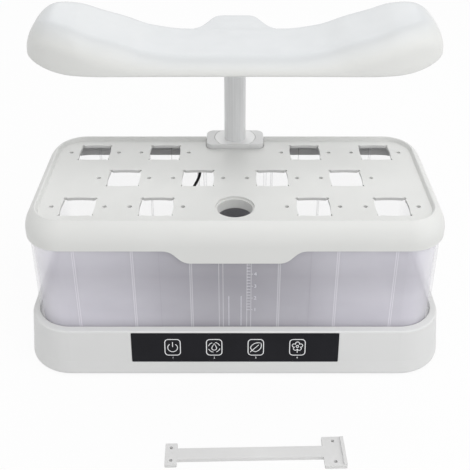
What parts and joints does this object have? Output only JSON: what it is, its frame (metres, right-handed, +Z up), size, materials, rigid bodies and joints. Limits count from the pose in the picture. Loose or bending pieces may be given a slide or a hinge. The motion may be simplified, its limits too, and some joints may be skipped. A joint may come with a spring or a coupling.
{
  "type": "countertop hydroponic garden",
  "caption": "Planting deck on a clear water tank in a housing with touch keys, lit from above by a gull-wing lamp that slides on a rear post.",
  "frame": {"origin": "on the counter, at the middle of the base's centre foot", "axes": "+X to the right along the deck, +Y to the back, towards the lamp post, +Z up"},
  "size_m": [0.4228, 0.3273, 0.343],
  "materials": {
    "white_plastic": "fine moulded satin, light warm grey-white",
    "deck_plastic": "fine moulded satin, light warm grey-white",
    "hood_plastic": "soft sheen, cool near-white",
    "tank_clear": "clear with a faint violet-grey cast, lightly frosted",
    "lens_clear": "clear cover over the lights",
    "panel_gloss": "near-black, glossy",
    "black_plastic": "black moulded",
    "circuit_board": "green laminate",
    "led_board_white": "white-faced aluminium board",
    "led_yellow": "amber phosphor",
    "post_aluminium": "satin, drawn lengthwise",
    "steel": "zinc plated",
    "rubber": "matt black",
    "cable_black": "black jacket",
    "bar_plastic": "whitish, moulded"
  },
  "bodies": {
    "base": {"base_shell": "white_plastic", "base_bottom_cover": "white_plastic", "rubber_feet": "rubber", "base_screws": "steel", "control_panel": "panel_gloss", "touch_board": "circuit_board", "main_board": "circuit_board", "dc_jack": "black_plastic", "rear_column": "white_plastic", "column_cap": "white_plastic", "post_bushing": "white_plastic", "pump_contacts": "black_plastic"},
    "tank": {"tank": "tank_clear", "pump_body": "black_plastic", "pump_cover": "black_plastic", "pump_outlet": "black_plastic", "pump_shaft": "steel", "suction_cups": "rubber", "pump_cable": "cable_black", "pump_plug": "black_plastic"},
    "impeller": {"impeller": "white_plastic"},
    "deck": {"deck": "deck_plastic"},
    "lamp": {"lamp_post": "post_aluminium", "post_foot": "black_plastic", "hood_shell": "hood_plastic", "hood_socket": "white_plastic", "hood_lens": "lens_clear", "hood_screws": "steel", "led_board": "led_board_white", "led_chips": "led_yellow"},
    "bar": {"support_bar": "bar_plastic"}
  },
  "joints": [
    {"name": "lamp_height", "type": "slide", "parent": "base", "child": "lamp", "axis": [0, 0, 1], "range_m": [0, 0.11]},
    {"name": "tank_lift", "type": "slide", "parent": "base", "child": "tank", "axis": [0, 0, 1], "range_m": [0, 0.04]},
    {"name": "deck_lift", "type": "slide", "parent": "tank", "child": "deck", "axis": [0, 0, 1], "range_m": [0, 0.05]},
    {"name": "impeller_spin", "type": "hinge", "parent": "tank", "child": "impeller", "pos_m": [-0.054, 0.07, 0.0711], "axis": [0, 1, 0], "continuous": true},
    {"name": "bar_lift", "type": "slide", "parent": "base", "child": "bar", "axis": [0, 0, 1], "range_m": [0, 0.03]}
  ]
}
